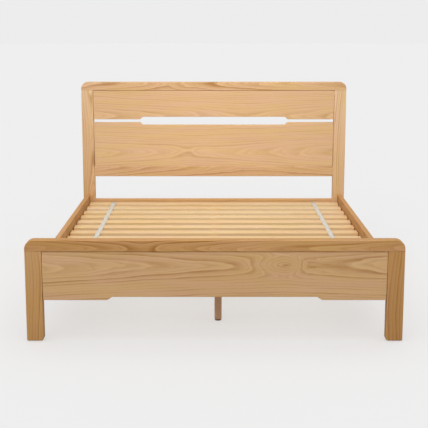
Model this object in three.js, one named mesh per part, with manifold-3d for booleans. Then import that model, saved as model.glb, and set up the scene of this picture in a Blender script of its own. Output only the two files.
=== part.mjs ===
// A slatted oak bed frame for a 1500 x 2000 mattress: a framed headboard with a long slot, a
// framed footboard, two side rails, a centre rail on three legs and fourteen pine slats.
// Millimetres, +Z up. The foot end faces -Y and the floor is z = 0.

import * as THREE from 'three';
import { mergeVertices } from 'three/addons/utils/BufferGeometryUtils.js';
import Module from 'manifold-3d';

const wasm = await Module();
wasm.setup();

// Driving dimensions.
const bedWidth = 1630;
const wellLength = 2022;
const headHeight = 1000;
const footHeight = 450;
const gap = 0.3;
const ease = 3;
const easeSteps = 2;

// Posts and the rails that cap them.
const postWidth = 72;
const postDepth = 48;
const capHeight = 50;
const capRadius = 40;
const capRadiusSteps = 8;
const postTenon = { width: 48, thickness: 16, length: 25 };
const postGlide = { radius: 15, toeRadius: 13, height: 3 };

// Panels, their tongues and the cuts along their edges.
const panelThickness = 24;
const panelRecess = 3;
const panelReveal = 1;
const tongue = { thickness: 10, length: 10 };
const slotMiddle = 762;
const slotNarrow = 18;
const slotWide = 49;
const slotHalfLength = 455;
const footPanelLow = 184.5;
const footCut = { rise: 14, run: 22, halfLength: 464 };

// Cross rails of the headboard.
const railThickness = 30;
const middleRail = { low: 416, high: 480 };
const lowerRail = { low: 183, high: 273 };
const railTenon = { thickness: 12, length: 25, shoulder: 10 };

// Side rails, ledges and the bolts at the four corners.
const sideRail = { inset: 15, thickness: 26, low: 180, high: 300 };
const ledge = { thickness: 30, height: 25, endGap: 3 };
const bolt = { radius: 4, heights: [197, 270], inPost: 30, past: 7 };
const pocket = { radius: 13, depth: 20, setBack: 40 };
const moon = { radius: 12.7, flat: 5, sideGap: 2 };
const hexNut = { radius: 7.5, height: 6.5, sides: 6 };

// Slats, the webbing on them and the centre rail under them.
const slat = { count: 14, width: 75, thickness: 18, length: 1540, endMargin: 17.5 };
const slatUnderside = 237;
const tape = { width: 25, thickness: 1.2, offset: 620 };
const centreRail = { width: 28, height: 34 };
const centreLeg = { width: 33, spacing: 730, low: 8 };
const legGlide = { radius: 15, toeRadius: 13, toe: 2, height: 6, stemRadius: 4, stemTop: 48 };
const glideBoreTop = 54;
const bracket = { sheet: 2, reach: 40, plateHalfWidth: 34, plateHigh: 243, holeRadius: 2.6 };
const bracketHoles = { across: 25, heights: [212, 232] };

// Finishes.
const finishes = {
  oak: { color: '#cf9f6a', roughness: 0.55, metalness: 0 },
  brownWood: { color: '#96735a', roughness: 0.6, metalness: 0 },
  pine: { color: '#e2c79c', roughness: 0.65, metalness: 0 },
  steel: { color: '#b4b6b8', roughness: 0.35, metalness: 1 },
  webbing: { color: '#d8d2c4', roughness: 0.9, metalness: 0 },
  plastic: { color: '#3b322b', roughness: 0.5, metalness: 0 },
};

// Places worked out from the dimensions above.
const halfWidth = bedWidth / 2;
const halfWell = wellLength / 2;
const postInside = halfWidth - postWidth;
const headFront = halfWell;
const footFront = -halfWell - postDepth;
const railOutside = halfWidth - sideRail.inset;
const railInside = railOutside - sideRail.thickness;
const slatTop = slatUnderside + slat.thickness + gap;
const centreRailLow = slatUnderside - centreRail.height;

const bed = new THREE.Group();

// Ranges: a pair of limits, grown by a margin, or set out from the middle of the bed.
const grown = ([low, high], margin) => [low - margin, high + margin];
const around = (middle, size) => [middle - size / 2, middle + size / 2];
const outward = (side, near, far) => (side > 0 ? [near, far] : [-far, -near]);
const middleOf = ([low, high]) => (low + high) / 2;
const sizeOf = ([low, high]) => high - low;

// A closed geometry as a solid that can be joined and cut.
function toSolid(geometry) {
  geometry.deleteAttribute('normal');
  geometry.deleteAttribute('uv');
  const welded = mergeVertices(geometry);
  return new wasm.Manifold(new wasm.Mesh({
    numProp: 3,
    vertProperties: new Float32Array(welded.attributes.position.array),
    triVerts: new Uint32Array(welded.index.array),
  }));
}

function toGeometry(solid) {
  const { vertProperties, triVerts } = solid.getMesh();
  const geometry = new THREE.BufferGeometry();
  geometry.setAttribute('position', new THREE.BufferAttribute(vertProperties, 3));
  geometry.setIndex(new THREE.BufferAttribute(triVerts, 1));
  geometry.computeVertexNormals();
  return geometry;
}

function placed(geometry, xs, ys, zs) {
  return toSolid(geometry.center().translate(middleOf(xs), middleOf(ys), middleOf(zs)));
}

// A sharp-edged block between three pairs of limits.
function block(xs, ys, zs) {
  return placed(new THREE.BoxGeometry(sizeOf(xs), sizeOf(ys), sizeOf(zs)), xs, ys, zs);
}

// How a flat section in x and y turns so that its extrusion runs along an axis.
const turns = {
  x: new THREE.Matrix4().makeBasis(
    new THREE.Vector3(0, 1, 0), new THREE.Vector3(0, 0, 1), new THREE.Vector3(1, 0, 0)),
  y: new THREE.Matrix4().makeBasis(
    new THREE.Vector3(1, 0, 0), new THREE.Vector3(0, 0, 1), new THREE.Vector3(0, -1, 0)),
  z: new THREE.Matrix4(),
};

// A rectangle with its corners rounded, centred on the origin.
function roundedSection(width, height, radius) {
  const shape = new THREE.Shape();
  const right = width / 2 - radius;
  const top = height / 2 - radius;
  shape.absarc(right, top, radius, 0, Math.PI / 2);
  shape.absarc(-right, top, radius, Math.PI / 2, Math.PI);
  shape.absarc(-right, -top, radius, Math.PI, 1.5 * Math.PI);
  shape.absarc(right, -top, radius, 1.5 * Math.PI, 2 * Math.PI);
  return shape;
}

// A straight timber whose four long edges are eased and whose ends are square.
function timber(along, xs, ys, zs, radius = ease) {
  const sections = {
    x: [ys, zs, xs],
    y: [xs, zs, ys],
    z: [xs, ys, zs],
  };
  const [wide, tall, long] = sections[along].map(sizeOf);
  const geometry = new THREE.ExtrudeGeometry(roundedSection(wide, tall, radius), {
    depth: long,
    bevelEnabled: false,
    curveSegments: easeSteps,
  });
  return placed(geometry.applyMatrix4(turns[along]), xs, ys, zs);
}

// A board cut to an outline in x and z, with its front and back edges eased.
function board(outline, ys, xs, zs, radius = ease) {
  const geometry = new THREE.ExtrudeGeometry(outline, {
    depth: sizeOf(ys) - 2 * radius,
    bevelThickness: radius,
    bevelSize: radius,
    bevelOffset: -radius,
    bevelSegments: easeSteps,
    curveSegments: capRadiusSteps,
  });
  return placed(geometry.applyMatrix4(turns.y), xs, ys, zs);
}

// A round rod along one axis, through the given centre.
function rod(along, centre, radius, limits, sides = 16, endRadius = radius) {
  const geometry = new THREE.CylinderGeometry(endRadius, radius, sizeOf(limits), sides);
  if (along === 'x') geometry.rotateZ(-Math.PI / 2);
  if (along === 'z') geometry.rotateX(Math.PI / 2);
  const place = { x: centre[0], y: centre[1], z: centre[2], [along]: middleOf(limits) };
  return toSolid(geometry.translate(place.x, place.y, place.z));
}

function addPiece(name, solid, finish) {
  const material = new THREE.MeshStandardMaterial(finishes[finish]);
  const mesh = new THREE.Mesh(toGeometry(solid), material);
  mesh.name = name;
  bed.add(mesh);
}

const sides = [
  { name: 'left', sign: -1 },
  { name: 'right', sign: 1 },
];
const ends = [
  { name: 'foot', sign: -1, front: footFront, height: footHeight },
  { name: 'head', sign: 1, front: headFront, height: headHeight },
];
const panelSpan = (front) => [front + panelRecess, front + panelRecess + panelThickness];
const tongueSpan = (front) => around(middleOf(panelSpan(front)), tongue.thickness);

// The tenon that a post pushes up into its cap rail, or the mortise that takes it.
function postTenonBlock(side, end, margin) {
  const capLow = end.height - capHeight;
  const xs = around(side.sign * (halfWidth - postWidth / 2), postTenon.width);
  const ys = around(end.front + postDepth / 2, postTenon.thickness);
  const zs = [capLow - 1, capLow + postTenon.length];
  return block(grown(xs, margin), grown(ys, margin), grown(zs, margin));
}

// The panels that a post holds, each as its lowest and highest point.
const heldPanels = {
  foot: [[footPanelLow, footHeight - capHeight]],
  head: [
    [slotMiddle + slotNarrow / 2, headHeight - capHeight],
    [middleRail.high, slotMiddle - slotNarrow / 2],
  ],
};

function postGroove(side, end, [low, high]) {
  const xs = outward(side.sign, postInside - 1, postInside + tongue.length + gap);
  return block(xs, grown(tongueSpan(end.front), gap), grown([low, high], gap));
}

// A cross rail's tenon at one end, or the mortise that takes it.
function railTenonBlock(side, rail, margin) {
  const xs = outward(side.sign, postInside - 1, postInside + railTenon.length);
  const ys = around(headFront + railThickness / 2, railTenon.thickness);
  const zs = [rail.low + railTenon.shoulder, rail.high - railTenon.shoulder];
  return block(grown(xs, margin), grown(ys, margin), grown(zs, margin));
}

const boltX = (side) => side.sign * (railInside + pocket.depth - pocket.depth * 0.4);

function boltHole(side, end, height, limits) {
  const ys = outward(end.sign, ...limits);
  return rod('y', [boltX(side), 0, height], bolt.radius + gap, ys);
}

// A post from its glide up to the shoulder under its cap rail.
function post(side, end) {
  const xs = outward(side.sign, postInside, halfWidth);
  const ys = [end.front, end.front + postDepth];
  const zs = [postGlide.height + gap, end.height - capHeight - gap];
  let solid = timber('z', xs, ys, zs).add(postTenonBlock(side, end, 0));
  for (const limits of heldPanels[end.name]) {
    solid = solid.subtract(postGroove(side, end, limits));
  }
  if (end.name === 'head') {
    for (const rail of [middleRail, lowerRail]) {
      solid = solid.subtract(railTenonBlock(side, rail, gap));
    }
  }
  for (const height of bolt.heights) {
    solid = solid.subtract(boltHole(side, end, height, [halfWell - 1, halfWell + bolt.inPost + 1]));
  }
  return solid;
}

// The rail across the top of two posts, with its two upper corners rounded.
function capRail(end) {
  const low = end.height - capHeight;
  const outline = new THREE.Shape();
  outline.moveTo(-halfWidth, low);
  outline.lineTo(halfWidth, low);
  outline.absarc(halfWidth - capRadius, end.height - capRadius, capRadius, 0, Math.PI / 2);
  outline.absarc(-halfWidth + capRadius, end.height - capRadius, capRadius, Math.PI / 2, Math.PI);
  outline.closePath();
  const ys = [end.front, end.front + postDepth];
  let solid = board(outline, ys, [-halfWidth, halfWidth], [low, end.height]);
  for (const side of sides) {
    solid = solid.subtract(postTenonBlock(side, end, gap));
  }
  const grooveZs = [low - 1, low + tongue.length + gap];
  const grooveYs = grown(tongueSpan(end.front), gap);
  return solid.subtract(block([-postInside, postInside], grooveYs, grooveZs));
}

// A panel's outline in x and z: a rectangle with a long shallow cut in its lower or upper edge.
function panelOutline(half, low, high, cut) {
  const points = [
    [-half, low],
    [half, low],
    [half, high],
    [-half, high],
  ];
  const edge = cut.rise > 0 ? low : high;
  const direction = cut.rise > 0 ? 1 : -1;
  const cutPoints = [
    [-direction * cut.halfLength, edge],
    [-direction * (cut.halfLength - cut.run), edge + cut.rise],
    [direction * (cut.halfLength - cut.run), edge + cut.rise],
    [direction * cut.halfLength, edge],
  ];
  points.splice(cut.rise > 0 ? 1 : 3, 0, ...cutPoints);
  return new THREE.Shape(points.map(([x, z]) => new THREE.Vector2(x, z)));
}

// A panel with tongues at both ends and along the long edge that has no cut in it.
function panel(end, low, high, cut) {
  const half = postInside - panelReveal;
  const reach = panelReveal + tongue.length - gap;
  const ys = tongueSpan(end.front);
  const body = board(
    panelOutline(half, low, high, cut), panelSpan(end.front), [-half, half], [low, high]);
  const edgeZs = cut.rise > 0 ? [high - 2 * ease, high + reach] : [low - reach, low + 2 * ease];
  const edgeTongue = block([-half + ease, half - ease], ys, edgeZs);
  return sides.reduce((solid, side) => {
    const xs = outward(side.sign, half - 2 * ease, half + reach);
    return solid.add(block(xs, ys, [low + ease, high - ease]));
  }, body.add(edgeTongue));
}

// A headboard cross rail between the posts.
function crossRail(rail, grooved) {
  const xs = grown([-postInside, postInside], -gap);
  const ys = [headFront, headFront + railThickness];
  let solid = timber('x', xs, ys, [rail.low, rail.high]);
  for (const side of sides) {
    solid = solid.add(railTenonBlock(side, rail, 0));
  }
  if (grooved) {
    const grooveZs = [rail.high - tongue.length - gap, rail.high + 1];
    const grooveXs = grown([-postInside, postInside], tongue.length);
    solid = solid.subtract(block(grooveXs, grown(tongueSpan(headFront), gap), grooveZs));
  }
  return solid;
}

function pocketBore(side, end, height) {
  const xs = outward(side.sign, railInside - 1, railInside + pocket.depth);
  return rod('x', [0, end.sign * (halfWell - pocket.setBack), height], pocket.radius, xs, 24);
}

function sideRailSolid(side) {
  const xs = outward(side.sign, railInside, railOutside);
  const ys = grown([-halfWell, halfWell], -gap);
  let solid = timber('y', xs, ys, [sideRail.low, sideRail.high]);
  for (const end of ends) {
    for (const height of bolt.heights) {
      const limits = [halfWell - pocket.setBack, halfWell + 1];
      solid = solid.subtract(pocketBore(side, end, height));
      solid = solid.subtract(boltHole(side, end, height, limits));
    }
  }
  return solid;
}

function ledgeSolid(side) {
  const xs = outward(side.sign, railInside - ledge.thickness, railInside - gap);
  const ys = grown([-halfWell, halfWell], -ledge.endGap);
  return timber('y', xs, ys, [slatUnderside - ledge.height, slatUnderside]);
}

function stud(side, end, height) {
  const near = halfWell - pocket.setBack - bolt.past;
  const ys = outward(end.sign, near, halfWell + bolt.inPost);
  return rod('y', [boltX(side), 0, height], bolt.radius, ys);
}

// A half-moon washer against the round wall of its pocket, with a hexagon nut on its flat.
function moonNut(side, end, height) {
  const middle = halfWell - pocket.setBack;
  const xs = outward(side.sign, railInside + moon.sideGap, railInside + pocket.depth - moon.sideGap);
  const disc = rod('x', [0, end.sign * middle, height], moon.radius, xs, 24);
  const keepYs = outward(end.sign, middle + moon.flat, middle + pocket.radius);
  const nutYs = outward(end.sign, middle + moon.flat - hexNut.height, middle + moon.flat + 1);
  const centre = [boltX(side), 0, height];
  const washer = disc.intersect(block(grown(xs, 1), keepYs, around(height, 2 * pocket.radius)));
  const nut = rod('y', centre, hexNut.radius, nutYs, hexNut.sides);
  const hole = rod('y', centre, bolt.radius + gap, outward(end.sign, middle - 5, halfWell));
  return washer.add(nut).subtract(hole);
}

function slatSolid(y) {
  const zs = [slatUnderside + gap, slatTop];
  return timber('x', around(0, slat.length), around(y, slat.width), zs);
}

function centreRailSolid() {
  const clear = bracket.sheet + 2 * gap;
  const ys = [footFront + panelRecess + panelThickness + clear, headFront - clear];
  return timber('y', around(0, centreRail.width), ys, [centreRailLow, slatUnderside]);
}

// A square leg beside the centre rail, notched so that the rail also sits on it.
function centreLegSolid(y) {
  const ys = around(y, centreLeg.width);
  const notchXs = [-1, centreRail.width / 2 + gap];
  const notchZs = [centreRailLow - gap, slatUnderside + 1];
  const middle = centreLeg.width / 2;
  return timber('z', [0, centreLeg.width], ys, [centreLeg.low, slatUnderside - gap])
    .subtract(block(notchXs, grown(ys, 1), notchZs))
    .subtract(rod('z', [middle, y, 0], legGlide.stemRadius + gap, [centreLeg.low - 1, glideBoreTop]));
}

function legGlideSolid(y) {
  const centre = [centreLeg.width / 2, y, 0];
  const toe = rod('z', centre, legGlide.toeRadius, [0, legGlide.toe], 24, legGlide.radius);
  const pad = rod('z', centre, legGlide.radius, [legGlide.toe, legGlide.height], 24);
  const stem = rod('z', centre, legGlide.stemRadius, [legGlide.height - 1, legGlide.stemTop]);
  return toe.add(pad).add(stem);
}

function postGlideSolid(side, end) {
  const centre = [side.sign * (halfWidth - postWidth / 2), end.front + postDepth / 2, 0];
  return rod('z', centre, postGlide.toeRadius, [0, postGlide.height], 24, postGlide.radius);
}

// A folded steel stirrup that carries one end of the centre rail.
function bracketSolid(end) {
  const face = end.name === 'foot' ? footFront + panelRecess + panelThickness : headFront;
  const into = -end.sign;
  const runFrom = (near, far) => [face + into * near, face + into * far].sort((a, b) => a - b);
  const inside = centreRail.width / 2 + gap;
  const floorLow = centreRailLow - gap - bracket.sheet;
  const plateYs = runFrom(gap, gap + bracket.sheet);
  const cradleYs = runFrom(gap, gap + bracket.reach);
  const outerXs = around(0, 2 * (inside + bracket.sheet));
  const hollowZs = [centreRailLow - gap, slatUnderside + 1];
  const cradle = block(outerXs, cradleYs, [floorLow, slatUnderside - 1])
    .subtract(block(around(0, 2 * inside), grown(cradleYs, 1), hollowZs));
  const plateXs = [-bracket.plateHalfWidth, bracket.plateHalfWidth];
  let solid = cradle.add(block(plateXs, plateYs, [floorLow, bracket.plateHigh]));
  for (const x of [-bracketHoles.across, bracketHoles.across]) {
    for (const z of bracketHoles.heights) {
      solid = solid.subtract(rod('y', [x, 0, z], bracket.holeRadius, grown(plateYs, 1), 12));
    }
  }
  return solid;
}

// End frames.
for (const end of ends) {
  const frameName = `${end.name}board`;
  for (const side of sides) {
    addPiece(`${frameName}_post_${side.name}`, post(side, end), 'oak');
    addPiece(`${frameName}_post_${side.name}_glide`, postGlideSolid(side, end), 'plastic');
  }
  addPiece(`${frameName}_top_rail`, capRail(end), 'oak');
}
const [footEnd, headEnd] = ends;
const slotStep = (slotWide - slotNarrow) / 2;
const slotCut = { rise: slotStep, run: slotStep, halfLength: slotHalfLength };
const slotDip = { ...slotCut, rise: -slotStep };
const [footPanelLimits] = heldPanels.foot;
const [upperLimits, lowerLimits] = heldPanels.head;
addPiece('footboard_panel',
  panel(footEnd, footPanelLimits[0], footPanelLimits[1] - panelReveal, footCut), 'oak');
addPiece('headboard_upper_panel',
  panel(headEnd, upperLimits[0], upperLimits[1] - panelReveal, slotCut), 'oak');
addPiece('headboard_lower_panel',
  panel(headEnd, lowerLimits[0] + panelReveal, lowerLimits[1], slotDip), 'oak');
addPiece('headboard_middle_rail', crossRail(middleRail, true), 'oak');
addPiece('headboard_lower_rail', crossRail(lowerRail, false), 'oak');

// Side rails with their ledges and corner bolts.
for (const side of sides) {
  addPiece(`side_rail_${side.name}`, sideRailSolid(side), 'oak');
  addPiece(`slat_ledge_${side.name}`, ledgeSolid(side), 'pine');
  for (const end of ends) {
    bolt.heights.forEach((height, index) => {
      const place = `${end.name}_${side.name}_${index === 0 ? 'lower' : 'upper'}`;
      addPiece(`corner_stud_${place}`, stud(side, end, height), 'steel');
      addPiece(`corner_nut_${place}`, moonNut(side, end, height), 'steel');
    });
  }
}

// Slats and the webbing that keeps them apart.
const firstSlat = -halfWell + slat.endMargin + slat.width / 2;
const slatPitch = (-2 * firstSlat) / (slat.count - 1);
for (let index = 0; index < slat.count; index += 1) {
  const number = String(index + 1).padStart(2, '0');
  addPiece(`slat_${number}`, slatSolid(firstSlat + index * slatPitch), 'pine');
}
const tapeYs = grown([firstSlat, -firstSlat], slat.width / 2 - ease);
for (const side of sides) {
  const xs = around(side.sign * tape.offset, tape.width);
  const zs = [slatTop + gap, slatTop + gap + tape.thickness];
  addPiece(`slat_webbing_${side.name}`, block(xs, tapeYs, zs), 'webbing');
}

// Centre rail, its stirrups, and its three legs with their levelling glides.
addPiece('centre_rail', centreRailSolid(), 'pine');
for (const end of ends) {
  addPiece(`centre_rail_bracket_${end.name}`, bracketSolid(end), 'steel');
}
[-centreLeg.spacing, 0, centreLeg.spacing].forEach((y, index) => {
  addPiece(`centre_leg_${index + 1}`, centreLegSolid(y), 'brownWood');
  addPiece(`centre_leg_${index + 1}_glide`, legGlideSolid(y), 'plastic');
});

export default bed;
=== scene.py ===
"""A slatted oak bed frame: the finished timbers, fastenings and fittings round its fixed frame.

Lengths are metres, +Z is up and the foot of the bed faces -Y.
"""

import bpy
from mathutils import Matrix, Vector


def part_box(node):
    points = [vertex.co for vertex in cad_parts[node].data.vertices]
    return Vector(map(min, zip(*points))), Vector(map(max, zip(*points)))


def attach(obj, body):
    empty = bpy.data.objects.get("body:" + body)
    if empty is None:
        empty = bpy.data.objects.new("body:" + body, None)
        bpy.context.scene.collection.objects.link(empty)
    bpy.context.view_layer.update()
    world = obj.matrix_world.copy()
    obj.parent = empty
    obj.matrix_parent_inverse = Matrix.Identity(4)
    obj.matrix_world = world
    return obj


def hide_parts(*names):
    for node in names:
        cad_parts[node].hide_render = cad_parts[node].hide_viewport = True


bl_info = {
    "name": "Slatted Oak Bed Frame",
    "version": (1, 0, 0),
    "blender": (4, 5, 0),
    "location": "View3D > Sidebar > Bed Frame",
    "description": "Makes the timbers, slats, fastenings and studio of an oak bed frame",
    "category": "Object",
}

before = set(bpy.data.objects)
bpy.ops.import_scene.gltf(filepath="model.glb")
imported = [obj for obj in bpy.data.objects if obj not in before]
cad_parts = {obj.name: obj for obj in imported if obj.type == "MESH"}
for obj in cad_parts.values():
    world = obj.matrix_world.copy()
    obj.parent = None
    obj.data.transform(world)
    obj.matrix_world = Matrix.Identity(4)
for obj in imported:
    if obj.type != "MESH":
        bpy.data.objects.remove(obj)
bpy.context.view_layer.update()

import math

import bmesh
import bpy
import numpy as np
from bpy.props import FloatProperty, FloatVectorProperty, IntProperty, PointerProperty
from mathutils import Matrix, Vector

ROOT = "frame"
ALONG_X, ALONG_Y, ALONG_Z = 0, 1, 2
SIDES = (("left", -1), ("right", 1))
ENDS = (("foot", -1), ("head", 1))
LEVELS = ("lower", "upper")
LEG_NUMBERS = (1, 2, 3)
SLAT_NODES = sorted(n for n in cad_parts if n.startswith("slat_") and n[-2:].isdigit())
FINISHES = {
    "oak": "lacquered_oak", "pine": "planed_pine", "brown_wood": "stained_brown_wood",
    "zinc_steel": "bright_zinc", "webbing": "woven_webbing", "glide_plastic": "moulded_plastic",
}
# Clearance between timbers that meet, and how close two places count as one.
PLAY = 0.0003
TOUCH = 1e-4
# The studio floor's own tone, and the share of its glow that lights the bed.
FLOOR_TONE = 0.42
FLOOR_BOUNCE = 0.40
# Each broad soft light: its setting, the way it shines and its width in degrees.
SUNS = (
    ("key", Vector((0.20, 0.95, -0.20)).normalized(), 75),
    ("top", Vector((0.08, 0.22, -0.97)).normalized(), 110),
    ("back", Vector((-0.25, -0.85, -0.30)).normalized(), 110),
)
# Each lamp: its setting, where it hangs and where it aims.
LAMPS = (
    ("head_light", Vector((0.0, -0.3, 1.95)), Vector((0.0, 1.0, 0.66))),
    ("foot_light", Vector((-0.5, -1.95, 2.5)), Vector((0.0, -1.06, 0.40))),
)
LAMP_SIZE = (2.2, 0.8)
LAMP_SPREAD = math.radians(110)

# ---------------------------------------------------------------- settings

def length(name, description, default):
    return FloatProperty(
        name=name, description=description, default=default, unit="LENGTH", precision=4)


def colour(name, description, default):
    return FloatVectorProperty(
        name=name, description=description, default=default, subtype="COLOR", min=0, max=1)


class BedEdgeSettings(bpy.types.PropertyGroup):
    """Sizes of the eased edges and of the cuts in the panels."""

    ease: length("Eased edge", "Radius of the long edges of the timbers", 0.0035)
    joint_ease: length("Joint edge", "Softening of edges that meet another timber", 0.0006)
    cap_radius: length("Top corner", "Radius of the outer corners of both top rails", 0.040)
    foot_outer: length("Foot outer corner", "Radius of a foot's outer lower corner", 0.005)
    foot_inner: length("Foot inner corner", "Radius of a foot's inner lower corner", 0.010)
    rail_ease: length("Cross rail edge", "Radius of the cross rails' long edges", 0.003)
    leg_ease: length("Leg edge", "Radius of the centre legs' edges", 0.005)
    reveal: length("Panel reveal", "Open gap round a panel", 0.0018)
    slot_half_length: length("Slot half length", "Half of the headboard slot's wide part", 0.455)
    slot_step: length("Slot step", "How far each slot edge steps back", 0.0155)
    slot_corner: length("Slot corner", "Radius where a slot edge changes direction", 0.010)
    tongue: length("Tongue", "Thickness of the panels' tongues", 0.010)
    cut_half_length: length("Cut half length", "Half of the footboard's lower cut", 0.464)
    cut_rise: length("Cut rise", "Height of the footboard's lower cut", 0.014)
    cut_run: length("Cut run", "Length of each sloping end of that cut", 0.022)


class BedColourSettings(bpy.types.PropertyGroup):
    """Colours of the woods and fittings."""

    oak_light: colour("Oak light", "Pale late wood of the oak", (0.638, 0.360, 0.139))
    oak_warm: colour("Oak warm", "Warmer patches of the oak", (0.570, 0.298, 0.104))
    oak_dark: colour("Oak dark", "Early wood lines of the oak", (0.37, 0.148, 0.022))
    # The palest tint also serves as painted light on the headboard's boards and the posts' tops.
    oak_palest_and_painted_light: colour("Oak pale", "Tint of the palest boards", (0.82, 0.571, 0.334))
    pine_light: colour("Pine light", "Pale wood of the slats", (0.80, 0.60, 0.34))
    pine_warm: colour("Pine warm", "Warmer patches of the slats", (0.78, 0.53, 0.27))
    pine_dark: colour("Pine dark", "Late wood lines of the slats", (0.58, 0.33, 0.13))
    leg_light: colour("Leg light", "Light tone of the brown legs", (0.66, 0.408, 0.272))
    leg_warm: colour("Leg warm", "Warm tone of the brown legs", (0.61, 0.358, 0.224))
    leg_dark: colour("Leg dark", "Dark lines of the brown legs", (0.30, 0.155, 0.085))
    steel: colour("Zinc steel", "Zinc plated steel", (0.62, 0.63, 0.63))
    webbing: colour("Webbing", "Woven slat webbing", (0.82, 0.77, 0.66))
    plastic: colour("Glide plastic", "Moulded glides", (0.40, 0.255, 0.175))


class BedFastenerSettings(bpy.types.PropertyGroup):
    """Sizes of the small fastenings."""

    screw_head: length("Screw head", "Radius of a countersunk screw head", 0.0042)
    ledge_screws: IntProperty(
        name="Ledge screws", description="Screws along each slat ledge", default=9, min=2)
    staple_width: length("Staple width", "Width of a webbing staple's crown", 0.011)
    thread_pitch: length("Thread pitch", "Pitch of the corner bolts' thread", 0.00125)
    seed: IntProperty(
        name="Seed", description="Seed of the small random turns and shifts", default=7)


class BedStageSettings(bpy.types.PropertyGroup):
    """Camera and light of the plain studio."""

    camera_place: FloatVectorProperty(
        name="Camera place", description="Where the camera stands",
        default=(-0.0133, -5.363, 1.3686), subtype="TRANSLATION")
    camera_pitch: FloatProperty(
        name="Camera pitch", description="How far the camera looks down",
        default=0.1849, subtype="ANGLE")
    lens: FloatProperty(name="Lens", description="Focal length in millimetres", default=86.8)
    shift: FloatProperty(name="Shift", description="Sideways shift of the frame", default=0.0055)
    backdrop: FloatProperty(
        name="Backdrop", description="Brightness of the studio behind the bed", default=0.845)
    fill: FloatProperty(
        name="Fill", description="Strength of the light from all round", default=0.25)
    key: FloatProperty(
        name="Key", description="Strength of the soft light from the front", default=0.58)
    top: FloatProperty(
        name="Top light", description="Strength of the soft light from above", default=1.35)
    back: FloatProperty(
        name="Back light", description="Strength of the soft light from behind", default=0.65)
    head_light: FloatProperty(
        name="Head light", description="Power of the lamp over the headboard", default=7.0)
    foot_light: FloatProperty(
        name="Foot light", description="Power of the lamp before the footboard", default=9.5)


def edges():
    return bpy.context.scene.bed_edges


def colours():
    return bpy.context.scene.bed_colours


# ---------------------------------------------------------------- node trees

class Net:
    """A short way to write a node tree. Each call adds one node."""

    def __init__(self, tree):
        self.tree = tree

    def node(self, kind, settings=None, **inputs):
        made = self.tree.nodes.new(kind)
        made.location = (180 * (len(self.tree.nodes) % 12), -220 * (len(self.tree.nodes) // 12))
        for key, value in (settings or {}).items():
            setattr(made, key, value)
        for key, value in inputs.items():
            self.put(made.inputs[key.replace("_", " ")], value)
        return made

    def put(self, socket, value):
        if isinstance(value, bpy.types.NodeSocket):
            self.tree.links.new(value, socket)
        else:
            socket.default_value = value

    def math(self, operation, *values):
        made = self.node("ShaderNodeMath", {"operation": operation})
        for socket, value in zip(made.inputs, values):
            self.put(socket, value)
        return made.outputs[0]

    def vector(self, operation, *values):
        made = self.node("ShaderNodeVectorMath", {"operation": operation})
        for socket, value in zip(made.inputs, values):
            self.put(socket, value)
        return made.outputs["Value" if operation == "LENGTH" else "Vector"]

    def scaled(self, vector, factor):
        made = self.node("ShaderNodeVectorMath", {"operation": "SCALE"}, Scale=factor)
        self.put(made.inputs[0], vector)
        return made.outputs["Vector"]

    def parts(self, vector):
        made = self.node("ShaderNodeSeparateXYZ", Vector=vector)
        return made.outputs["X"], made.outputs["Y"], made.outputs["Z"]

    def joined(self, x, y, z):
        return self.node("ShaderNodeCombineXYZ", X=x, Y=y, Z=z).outputs["Vector"]

    def smooth(self, value, low, high, to_low=0.0, to_high=1.0):
        made = self.node("ShaderNodeMapRange", {"interpolation_type": "SMOOTHSTEP"}, Value=value)
        for name, number in (("From Min", low), ("From Max", high), ("To Min", to_low),
                             ("To Max", to_high)):
            self.put(made.inputs[name], number)
        return made.outputs["Result"]

    def noise(self, vector, seed=0.0, detail=2.0, roughness=0.5, coloured=False):
        made = self.node("ShaderNodeTexNoise", {"noise_dimensions": "4D"}, Vector=vector, W=seed,
                         Scale=1.0, Detail=detail, Roughness=roughness)
        return made.outputs[1 if coloured else 0]

    def leaned(self, vector, amount, lean):
        """Scales the three parts of a colour by 1 plus the amount times their lean."""
        factor = self.vector("MULTIPLY_ADD", amount, lean, (1, 1, 1))
        return self.vector("MULTIPLY", vector, factor)

    def mix(self, factor, first, second):
        """Blends two colours. The node's sockets go by number, as several share a name."""
        made = self.node("ShaderNodeMix", {"data_type": "RGBA"})
        self.put(made.inputs[0], factor)
        self.put(made.inputs[6], first)
        self.put(made.inputs[7], second)
        return made.outputs[2]

    def attribute(self, name, output):
        return self.node("ShaderNodeAttribute", {"attribute_name": name}).outputs[output]


def opaque(rgb):
    return (*rgb, 1.0)


def new_group(name, kind, inputs, outputs):
    """An empty node group with its sockets, and the nodes that carry them."""
    tree = bpy.data.node_groups.new(name, kind)
    for in_out, sockets in (("INPUT", inputs), ("OUTPUT", outputs)):
        for socket_name, socket_type, default in sockets:
            socket = tree.interface.new_socket(
                socket_name, in_out=in_out, socket_type=f"NodeSocket{socket_type}")
            if default is not None:
                socket.default_value = default
    net = Net(tree)
    source = net.node("NodeGroupInput").outputs
    sink = net.node("NodeGroupOutput").inputs
    return net, source, sink


def squared_over(net, value, reach):
    return net.math("POWER", net.math("DIVIDE", value, reach), 2.0)


def bell(net, x, y, reach_x, reach_y):
    """A smooth hump of height 1 that fades over the given reaches."""
    total = net.math("ADD", squared_over(net, x, reach_x), squared_over(net, y, reach_y))
    return net.math("EXPONENT", net.math("MULTIPLY", total, -1.0))


def ring_line(net, phase):
    """A growth ring's dark line: it starts sharply and fades out over the rest of the ring."""
    rise = net.smooth(phase, 0.0, 0.15)
    fall = net.math("POWER", net.math("SUBTRACT", 1.0, phase), 1.8)
    return net.math("MINIMUM", net.math("MULTIPLY", net.math("MULTIPLY", rise, fall), 1.5), 1.0)


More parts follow.
